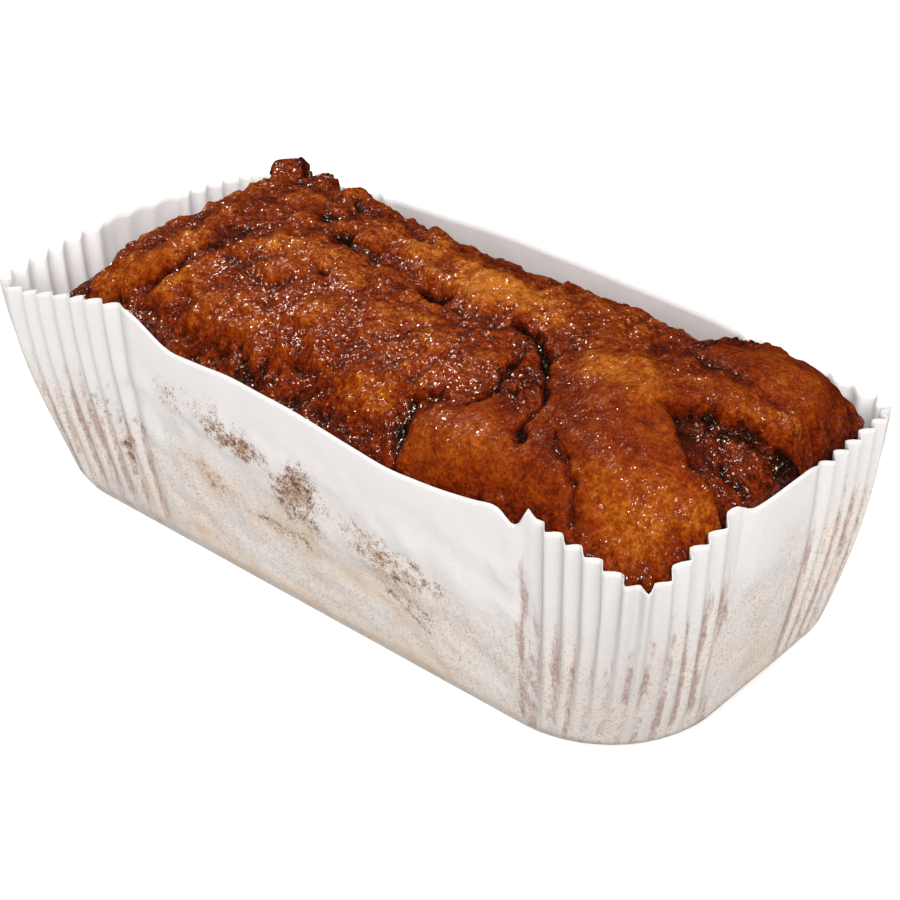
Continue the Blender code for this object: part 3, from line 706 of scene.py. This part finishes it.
def paper_mesh(settings):
    """Vertices, faces and fields of the case: outer wall up, over the rim, inner wall down, and both floors.

    The wall at (s, t) is the pleated plan, moved along its normal by crumples that are largest on the
    flat panels at mid height, where the cake presses on them.
    """
    side, s = paper_columns()
    levels = np.linspace(0.0, 1.0, PAPER_ROWS + 1)
    t = np.concatenate([levels ** 1.15, levels[::-1] ** 1.15])
    inner = np.concatenate([np.zeros(PAPER_ROWS + 1), np.ones(PAPER_ROWS + 1)])
    tt, ss = np.meshgrid(t, s, indexing="ij")
    inside, sides = np.meshgrid(inner, side, indexing="ij")
    thickness = settings.thickness / MM
    lean = 0.004 * waves(ss * 30.0 + 50.0 * sides, tt * 2.0, 3.0, 111) * (1.0 - np.abs(ss) ** 8)
    points, normals = case_wall(sides, ss + lean * (1.0 - tt), tt, settings.pleat_depth / MM, 0.0)
    along = along_walls(sides, points)
    press = smooth(tt / 0.2) * smooth((1.0 - tt) / 0.35)
    height = points[..., 2]
    crumple = 0.45 * fractal(along * 0.8 + height * 0.6, height * 1.2 - along * 0.3, 9.0, 121, 3)
    crumple = crumple * np.where(np.abs(zigzag(sides, ss)) > 0.0, 0.25, 1.0)
    crumple = crumple * np.where(sides == RIGHT, 0.5, 1.0)
    drop = height - np.interp(points[..., 0], *np.transpose(CLING_LINE))
    cling = CLING_STEP * np.tanh(drop / 1.2) * np.exp(-(drop / 9.0) ** 2) * (sides == FRONT)
    crumple = crumple + cling * smooth((0.6 - np.abs(ss)) / 0.1)
    shift = settings.crumple * crumple * press + 0.16 * waves(along, tt, 11.0, 131) * smooth(tt)
    shift = shift - inside * thickness
    points[..., :2] += normals * shift[..., None]
    rounding = RIM_SCALLOP * (1.0 - zigzag(sides, ss) ** 2) * (np.abs(zigzag(sides, ss)) > 0.0)
    points[..., 2] = np.maximum(points[..., 2] + rounding * smooth((tt - 0.9) / 0.1), inside * thickness)
    rows, count = tt.shape
    index = np.arange(rows * count).reshape(rows, count)
    nxt = np.roll(index, -1, axis=1)
    faces = np.stack([index[:-1], nxt[:-1], nxt[1:], index[1:]], axis=-1).reshape(-1, 4).tolist()
    faces.append(index[0, ::-1].tolist())
    faces.append(index[-1].tolist())
    fields = paper_fields(sides, ss, points)
    fields["inside"] = inside
    return points.reshape(-1, 3), faces, {k: f.ravel() for k, f in fields.items()}


def make_object(name, vertices, faces, fields, material):
    """An object at the origin with the mesh in metres and one float attribute for each field."""
    mesh = bpy.data.meshes.new(name)
    mesh.from_pydata((vertices * MM).tolist(), [], faces)
    for key, field in fields.items():
        layer = mesh.attributes.new(key, "FLOAT", "POINT")
        layer.data.foreach_set("value", np.ascontiguousarray(field, dtype=np.float32))
    mesh.validate()
    mesh.materials.append(material)
    mesh.shade_smooth()
    ob = bpy.data.objects.new(name, mesh)
    bpy.context.scene.collection.objects.link(ob)
    return ob


class Nodes:
    """A short way to write a material's node tree. Sizes and heights are in metres."""

    def __init__(self, name):
        self.material = bpy.data.materials.new(name)
        self.material.use_nodes = True
        self.tree = self.material.node_tree
        self.shader = self.tree.nodes["Principled BSDF"]
        self.position = self.add("ShaderNodeTexCoord").outputs["Object"]

    def add(self, kind, **values):
        """A node of that kind, with its properties set."""
        node = self.tree.nodes.new(kind)
        for key, value in values.items():
            setattr(node, key, value)
        return node

    def put(self, value, socket):
        """Links a socket to a socket, or sets the socket to a number or colour."""
        if isinstance(value, bpy.types.NodeSocket):
            self.tree.links.new(value, socket)
        else:
            socket.default_value = value

    def field(self, name):
        """A float attribute of the mesh."""
        return self.add("ShaderNodeAttribute", attribute_name=name).outputs["Fac"]

    def maths(self, operation, a, b=0.0, c=0.0):
        """One sum of up to three values."""
        node = self.add("ShaderNodeMath", operation=operation)
        for value, socket in zip((a, b, c), node.inputs):
            self.put(value, socket)
        return node.outputs[0]

    def stretch(self, value, low, high, to_low=0.0, to_high=1.0):
        """Maps low..high to to_low..to_high, held at the ends."""
        node = self.add("ShaderNodeMapRange")
        names = ("Value", "From Min", "From Max", "To Min", "To Max")
        for name, number in zip(names, (value, low, high, to_low, to_high)):
            self.put(number, node.inputs[name])
        return node.outputs["Result"]

    def noise(self, size, detail=3.0, roughness=0.55, position=None):
        """Noise with features of that size."""
        node = self.add("ShaderNodeTexNoise")
        self.put(position or self.position, node.inputs["Vector"])
        node.inputs["Scale"].default_value = 1.0 / size
        node.inputs["Detail"].default_value = detail
        node.inputs["Roughness"].default_value = roughness
        return node.outputs["Fac"]

    def mix(self, share, a, b):
        """Mixes two colours, sockets or properties, by a share or by the product of several shares."""
        node = self.add("ShaderNodeMix", data_type="RGBA")
        self.put(self.product(*share) if isinstance(share, tuple) else share, node.inputs["Factor"])
        for value, socket in ((a, node.inputs[6]), (b, node.inputs[7])):
            self.put(value if isinstance(value, bpy.types.NodeSocket) else colour(value), socket)
        return node.outputs[2]

    def ramp(self, value, stops):
        """Turns a value into a colour that passes through the stops."""
        node = self.add("ShaderNodeValToRGB")
        self.put(value, node.inputs["Fac"])
        elements = node.color_ramp.elements
        while len(elements) < len(stops):
            elements.new(0.5)
        for element, (place, shade) in zip(elements, stops):
            element.position = place
            element.color = colour(shade)
        return node.outputs["Color"]

    def product(self, *values):
        """The product of two or more values."""
        total = values[0]
        for value in values[1:]:
            total = self.maths("MULTIPLY", total, value)
        return total

    def stretched(self, scale):
        """Object coordinates multiplied by a scale along each axis."""
        node = self.add("ShaderNodeMapping")
        node.inputs["Scale"].default_value = scale
        self.put(self.position, node.inputs["Vector"])
        return node.outputs["Vector"]

    def bump(self, height, strength, distance, normal=None):
        """A normal for a bump of that height, on top of another normal if one is given."""
        node = self.add("ShaderNodeBump")
        self.put(strength, node.inputs["Strength"])
        node.inputs["Distance"].default_value = distance
        self.put(height, node.inputs["Height"])
        if normal:
            self.put(normal, node.inputs["Normal"])
        return node.outputs["Normal"]


def colour(value):
    """A property's colour as a shader takes it."""
    return tuple(value) + (1.0,)


# Mottle of the crust's tone: size in metres, detail and share
MOTTLE = ((0.013, 4.0, 0.15), (0.0045, 3.0, 0.15), (0.0016, 4.0, 0.19), (0.0007, 2.0, 0.19))

# How much each field adds to the tone, and the colours that the tone passes through
# The hollow field darkens the tone in cracks and sunk places: partly burnt crust, partly painted shade
TONE_SHARES = (("gold", 0.42), ("lobe", -0.04), ("sticky", -0.12), ("hollow", -0.52))
TONE_STOPS = ((0.0, "burnt"), (0.16, "dark"), (0.34, "brown"), (0.55, "caramel"), (0.75, "amber"),
              (1.0, "gold"))


def crust_material(settings):
    """Baked crust: one tone from burnt cracks with painted shade in them through caramel to gold, under a
    sticky glaze that glints.
    """
    n = Nodes("caramel_crust")
    lobe, sticky = n.field("lobe"), n.field("sticky")
    rough = n.stretch(lobe, 0.0, 1.0, 1.0, 0.5)
    calm = n.stretch(lobe, 0.0, 1.0, 1.0, 0.7)
    # Painted light and shade in part: paler on raised crust, darker where it is sunk
    tone = n.stretch(n.field("raised"), 0.2, 0.8, settings.tone - 0.15, settings.tone + 0.15)
    for (size, detail, share), spread in zip(MOTTLE, (1.0, rough, calm, calm)):
        wave = n.stretch(n.noise(size, detail, 0.6), 0.3, 0.7, -share, share)
        tone = n.maths("MULTIPLY_ADD", wave, spread, tone)
    for name, share in TONE_SHARES:
        tone = n.maths("MULTIPLY_ADD", n.field(name), share, tone)
    stops = [(place, getattr(settings, name)) for place, name in TONE_STOPS]
    n.put(n.ramp(tone, stops), n.shader.inputs["Base Color"])
    n.shader.inputs["Roughness"].default_value = 0.6
    n.shader.inputs["Specular IOR Level"].default_value = 0.04
    wet = n.maths("ADD", n.noise(0.0009, 2.0, 0.6), n.stretch(n.noise(0.007, 3.0), 0.35, 0.65, -0.095, 0.02))
    wet = n.maths("MULTIPLY_ADD", lobe, -0.085, wet)
    wet = n.maths("MULTIPLY_ADD", n.field("glazed"), 0.075, wet)
    wet = n.stretch(n.maths("MULTIPLY_ADD", sticky, 0.05, wet), 0.51, 0.58, 0.04, 1.0)
    n.put(n.product(wet, settings.gloss), n.shader.inputs["Coat Weight"])
    n.shader.inputs["Coat Roughness"].default_value = 0.14
    n.shader.inputs["Coat IOR"].default_value = 1.8
    ripple = n.noise(0.0012, 2.0, 0.5, n.stretched((1.0, 0.5, 1.0)))
    grain = n.noise(0.0008, 2.0, 0.5)
    normal = n.bump(ripple, rough, 0.0009)
    n.put(normal, n.shader.inputs["Coat Normal"])
    n.put(n.bump(grain, 1.0, 0.0005, normal), n.shader.inputs["Normal"])
    return n.material


def paper_material(settings):
    """Greaseproof paper: warm white, mottled where the grease has soaked in, with spattered stains."""
    n = Nodes("greaseproof_paper")
    brown, tan, grease = n.field("brown"), n.field("tan"), n.field("grease")
    valley, sliver, inside = n.field("valley"), n.field("sliver"), n.field("inside")
    outside = n.maths("SUBTRACT", 1.0, inside)
    fibres = n.stretch(n.noise(0.0012, 5.0, 0.75), 0.36, 0.64)
    blotch = n.stretch(n.noise(0.006, 4.0, 0.6), 0.38, 0.66)
    cloud = n.stretch(n.noise(0.011, 5.0, 0.65), 0.42, 0.62)
    streak = n.noise(0.0014, 4.0, 0.65, n.stretched((1.0, 1.0, 0.18)))
    speck = n.stretch(n.noise(0.0006, 3.0, 0.7), 0.52, 0.66)
    base = n.mix((blotch, 0.08), settings.white, settings.grey)
    # Painted shade on the pleats
    base = n.mix(n.field("folded"), base, settings.folded)
    # Painted light: the inner face is a paler copy of the paper, standing in for light through it
    base = n.mix(inside, base, settings.inner)
    soaked = n.product(grease, outside)
    base = n.mix((soaked, fibres), base, settings.grey)
    base = n.mix((soaked, cloud, 0.55), base, settings.beige)
    base = n.mix((soaked, speck, n.stretch(cloud, 0.0, 1.0, 0.4, 0.8)), base, settings.taupe)
    base = n.mix((tan, outside, n.stretch(blotch, 0.0, 1.0, 0.2, 0.9)), base, settings.tan)
    smear = n.maths("MULTIPLY_ADD", n.stretch(streak, 0.3, 0.7, -0.9, 0.9), 0.6, valley)
    smear = n.product(n.stretch(smear, 0.25, 0.95), outside, n.stretch(valley, 0.0, 0.15))
    # The taupe smear also paints the shade along the front seam
    base = n.mix((smear, n.stretch(fibres, 0.0, 1.0, 0.42, 0.95)), base, settings.taupe)
    spatter = n.stretch(n.noise(0.0005, 4.0, 0.75), 0.3, 0.7, -0.7, 0.7)
    clump = n.stretch(n.noise(0.0026, 5.0, 0.75), 0.3, 0.7, -0.75, 0.75)
    cover = n.maths("ADD", n.maths("ADD", brown, spatter), n.maths("SUBTRACT", clump, 0.23))
    cover = n.product(n.stretch(cover, 0.0, 0.7), n.stretch(brown, 0.02, 0.25))
    ink = n.mix(n.stretch(n.noise(0.0016, 3.0), 0.4, 0.6, 0.0, 0.4), settings.stain, settings.tan)
    base = n.mix((cover, outside), base, ink)
    base = n.mix((sliver, n.stretch(fibres, 0.0, 1.0, 0.5, 0.95)), base, settings.stain)
    n.put(base, n.shader.inputs["Base Color"])
    n.put(n.stretch(grease, 0.0, 1.0, 0.78, 0.55), n.shader.inputs["Roughness"])
    n.shader.inputs["Specular IOR Level"].default_value = 0.3
    n.shader.inputs["Subsurface Weight"].default_value = 0.15
    n.shader.inputs["Subsurface Radius"].default_value = (1.0, 0.95, 0.9)
    n.shader.inputs["Subsurface Scale"].default_value = 0.001
    normal = n.bump(n.noise(0.004, 4.0, 0.6), 0.35, 0.0005)
    normal = n.bump(streak, n.stretch(grease, 0.0, 1.0, 0.1, 0.5), 0.0002, normal)
    normal = n.bump(n.noise(0.0009, 3.0, 0.6), n.stretch(grease, 0.0, 1.0, 0.2, 0.7), 0.0001, normal)
    n.put(normal, n.shader.inputs["Normal"])
    return n.material


def floor_material(settings):
    """A plain matt floor."""
    n = Nodes("pale_floor")
    n.shader.inputs["Base Color"].default_value = colour(settings.floor)
    n.shader.inputs["Roughness"].default_value = 0.9
    n.shader.inputs["Specular IOR Level"].default_value = 0.1
    n.shader.inputs["Emission Color"].default_value = (1.0, 1.0, 1.0, 1.0)
    n.shader.inputs["Emission Strength"].default_value = settings.glow
    return n.material


def colour_property(name, default, description):
    """A colour that a user can change."""
    return bpy.props.FloatVectorProperty(name=name, description=description, subtype="COLOR", size=3,
                                         default=default, min=0.0, max=1.0)


def number_property(name, default, description, high, subtype="NONE", low=0.0):
    """A number or length that a user can change."""
    unit = "LENGTH" if subtype == "DISTANCE" else "NONE"
    return bpy.props.FloatProperty(name=name, description=description, default=default, min=low, max=high,
                                   subtype=subtype, unit=unit)


def angle_property(name, degrees, description):
    """An angle that a user can change."""
    return bpy.props.FloatProperty(name=name, description=description, default=np.radians(degrees),
                                   subtype="ANGLE", unit="ROTATION")


class CrustSettings(bpy.types.PropertyGroup):
    """Sizes and colours of the crust."""

    relief: number_property("Relief", 1.0, "Height of the crust's lobes and cracks", 1.5, "FACTOR")
    pebble: number_property("Pebble", 1.0, "Height of the finest bumps", 3.0, "FACTOR")
    gloss: number_property("Gloss", 0.9, "Strength of the sticky glaze", 1.0, "FACTOR")
    tone: number_property("Tone", 0.55, "How pale the crust is baked, from burnt to golden", 1.0, "FACTOR")
    # The darkest stops also colour the painted shade in cracks and hollows
    burnt: colour_property("Burnt", (0.010, 0.0022, 0.0006), "Bottoms of the cracks")
    dark: colour_property("Dark", (0.038, 0.0042, 0.0004), "Sticky basins")
    brown: colour_property("Brown", (0.100, 0.0080, 0.0002), "Darker mottle")
    caramel: colour_property("Caramel", (0.195, 0.0210, 0.0004), "The crust's main colour")
    amber: colour_property("Amber", (0.290, 0.050, 0.0018), "Paler mottle")
    gold: colour_property("Gold", (0.480, 0.135, 0.010), "Golden patches")


class PaperSettings(bpy.types.PropertyGroup):
    """Sizes and colours of the paper case."""

    thickness: number_property("Thickness", 0.00022, "Thickness of the paper", 0.0006, "DISTANCE", 0.0001)
    pleat_depth: number_property("Pleat depth", 0.0013, "Half the depth of the zigzag at the rim", 0.002,
                                 "DISTANCE")
    crumple: number_property("Crumple", 0.8, "Unevenness of the pressed paper", 2.0, "FACTOR")
    white: colour_property("White", (0.91, 0.865, 0.845), "Clean paper")
    # Painted shade: a darker copy of the clean paper for the pleats
    folded: colour_property("Folded", (0.775, 0.745, 0.73), "Clean paper where it is pleated")
    # Painted light: paler than the clean paper outside, for light shining through it
    inner: colour_property("Inner", (0.99, 0.98, 0.97), "Paper inside the case")
    grey: colour_property("Grey", (0.80, 0.735, 0.665), "Paper soaked with grease")
    beige: colour_property("Beige", (0.90, 0.75, 0.62), "Clouds in the soaked paper")
    taupe: colour_property("Taupe", (0.40, 0.235, 0.195), "Pleat valleys and specks")
    tan: colour_property("Tan", (0.80, 0.57, 0.39), "Broad soft stains")
    stain: colour_property("Stain", (0.19, 0.078, 0.030), "Brown stains")


class StageSettings(bpy.types.PropertyGroup):
    """The floor, the lights and the camera."""

    floor: colour_property("Floor", (0.92, 0.92, 0.92), "Plain floor")
    glow: number_property("Floor glow", 0.28, "Light given off by the floor, so that it reads as white", 2.0)
    key: number_property("Key light", 0.62, "Power of the soft light from the left", 20.0)
    fill: number_property("Fill light", 2.65, "Power of the broad light beside the camera", 20.0)
    side: number_property("Side light", 0.42, "Power of the broad light from the right", 20.0)
    glints: number_property("Glints", 1.0, "Power of the lamps that the glaze mirrors", 5.0)
    sky: number_property("Sky", 0.46, "Strength of the even light all round", 5.0)
    azimuth: angle_property("Azimuth", 42.16, "Camera's way round from the front")
    elevation: angle_property("Elevation", 31.61, "Camera's height above the horizon")
    roll: angle_property("Roll", -0.74, "Camera's turn about its own axis")
    distance: number_property("Distance", 0.45242, "Camera to the point it looks at", 5.0, "DISTANCE")
    lens: number_property("Lens", 76.376, "Focal length in millimetres on a 36 mm sensor", 300.0, low=10.0)
    target: bpy.props.FloatVectorProperty(name="Target", description="Point the camera looks at",
                                          default=(0.00871, 0.00188, 0.030), subtype="TRANSLATION",
                                          unit="LENGTH")


def camera_axes(azimuth, elevation):
    """Right, up and back of something that looks at the middle from there, in radians from the front."""
    az, el = azimuth, elevation
    back = np.array([np.sin(az) * np.cos(el), -np.cos(az) * np.cos(el), np.sin(el)])
    right = np.array([np.cos(az), np.sin(az), 0.0])
    return right, np.cross(back, right), back


class BANANALOAF_OT_crust(bpy.types.Operator):
    """Makes the cracked, sticky loaf"""

    bl_idname = "bananaloaf.crust"
    bl_label = "Bake the loaf"

    def execute(self, context):
        settings = context.scene.bananaloaf_crust
        paper = context.scene.bananaloaf_paper
        vertices, faces, fields = loaf_mesh(settings, paper.pleat_depth / MM)
        ob = make_object("crust_loaf", vertices, faces, fields, crust_material(settings))
        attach(ob, "root")
        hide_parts("loaf")
        return {"FINISHED"}


class BANANALOAF_OT_paper(bpy.types.Operator):
    """Makes the pleated paper case"""

    bl_idname = "bananaloaf.paper"
    bl_label = "Fold the paper case"

    def execute(self, context):
        settings = context.scene.bananaloaf_paper
        vertices, faces, fields = paper_mesh(settings)
        ob = make_object("pleated_case", vertices, faces, fields, paper_material(settings))
        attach(ob, "root")
        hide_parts("paper_case")
        return {"FINISHED"}


def sun_light(name, azimuth, elevation, spread, power):
    """An even soft light from a round patch of sky, in degrees from the front and above the horizon."""
    data = bpy.data.lights.new(name, "SUN")
    data.energy = power
    data.angle = np.radians(spread)
    ob = bpy.data.objects.new(name, data)
    bpy.context.scene.collection.objects.link(ob)
    axes = camera_axes(np.radians(azimuth), np.radians(elevation))
    ob.matrix_world = placed(*axes, axes[2])
    return ob


def placed(right, up, back, place):
    """A placing matrix from three axes and a point."""
    rows = [list(row) + [p] for row, p in zip(np.column_stack([right, up, back]).tolist(), place)]
    return Matrix(rows + [[0.0, 0.0, 0.0, 1.0]])


class BANANALOAF_OT_stage(bpy.types.Operator):
    """Makes the floor, the soft lights and the camera"""

    bl_idname = "bananaloaf.stage"
    bl_label = "Set the stage"

    def execute(self, context):
        settings = context.scene.bananaloaf_stage
        scene = context.scene
        corners = FLOOR_REACH * np.array([(-1, -1, 0), (1, -1, 0), (1, 1, 0), (-1, 1, 0)])
        floor = make_object("floor", corners / MM, [(0, 1, 2, 3)], {}, floor_material(settings))
        floor.visible_diffuse = False
        floor.visible_glossy = False
        world = bpy.data.worlds.new("studio")
        world.use_nodes = True
        sky = world.node_tree.nodes["Background"]
        sky.inputs["Color"].default_value = (1.0, 1.0, 1.0, 1.0)
        sky.inputs["Strength"].default_value = settings.sky
        scene.world = world
        world.cycles_visibility.glossy = False
        key = sun_light(*KEY_LAMP, settings.key)
        key.data.color = KEY_COLOUR
        for *place, power in GLINT_LAMPS:
            lamp = sun_light(*place, power * settings.glints)
            lamp.data.color = GLINT_COLOUR
            lamp.visible_diffuse = False
        for lamp in (key, sun_light(*FILL_LAMP, settings.fill), sun_light(*SIDE_LAMP, settings.side)):
            lamp.visible_glossy = False
        level, up, back = camera_axes(settings.azimuth, settings.elevation)
        roll = settings.roll
        right = np.cos(roll) * level + np.sin(roll) * up
        up = np.cos(roll) * up - np.sin(roll) * level
        place = np.array(settings.target) + back * settings.distance
        data = bpy.data.cameras.new("photo_view")
        data.sensor_width = 36.0
        data.lens = settings.lens
        data.clip_start = 0.01
        camera = bpy.data.objects.new("photo_view", data)
        camera.matrix_world = placed(right, up, back, place)
        scene.collection.objects.link(camera)
        scene.camera = camera
        scene.view_settings.view_transform = "Standard"
        return {"FINISHED"}


class BANANALOAF_PT_panel(bpy.types.Panel):
    """Lists what the loaf is made of"""

    bl_idname = "BANANALOAF_PT_panel"
    bl_label = "Banana loaf"
    bl_space_type = "VIEW_3D"
    bl_region_type = "UI"
    bl_category = "Banana loaf"

    def draw(self, context):
        for key, operator in (("crust", BANANALOAF_OT_crust), ("paper", BANANALOAF_OT_paper),
                              ("stage", BANANALOAF_OT_stage)):
            box = self.layout.box()
            group = getattr(context.scene, "bananaloaf_" + key)
            for name in group.__annotations__:
                box.prop(group, name)
            box.operator(operator.bl_idname)


GROUPS = {
    "bananaloaf_crust": CrustSettings,
    "bananaloaf_paper": PaperSettings,
    "bananaloaf_stage": StageSettings,
}
CLASSES = tuple(GROUPS.values()) + (BANANALOAF_OT_crust, BANANALOAF_OT_paper, BANANALOAF_OT_stage,
                                    BANANALOAF_PT_panel)


def register():
    """Adds the classes and their settings to Blender."""
    for cls in CLASSES:
        bpy.utils.register_class(cls)
    for name, group in GROUPS.items():
        setattr(bpy.types.Scene, name, bpy.props.PointerProperty(type=group))


def unregister():
    """Takes them out again."""
    for name in GROUPS:
        delattr(bpy.types.Scene, name)
    for cls in reversed(CLASSES):
        bpy.utils.unregister_class(cls)


def main():
    """Makes every piece and the stage."""
    register()
    bpy.ops.bananaloaf.crust()
    bpy.ops.bananaloaf.paper()
    bpy.ops.bananaloaf.stage()


if __name__ == "__main__":
    main()
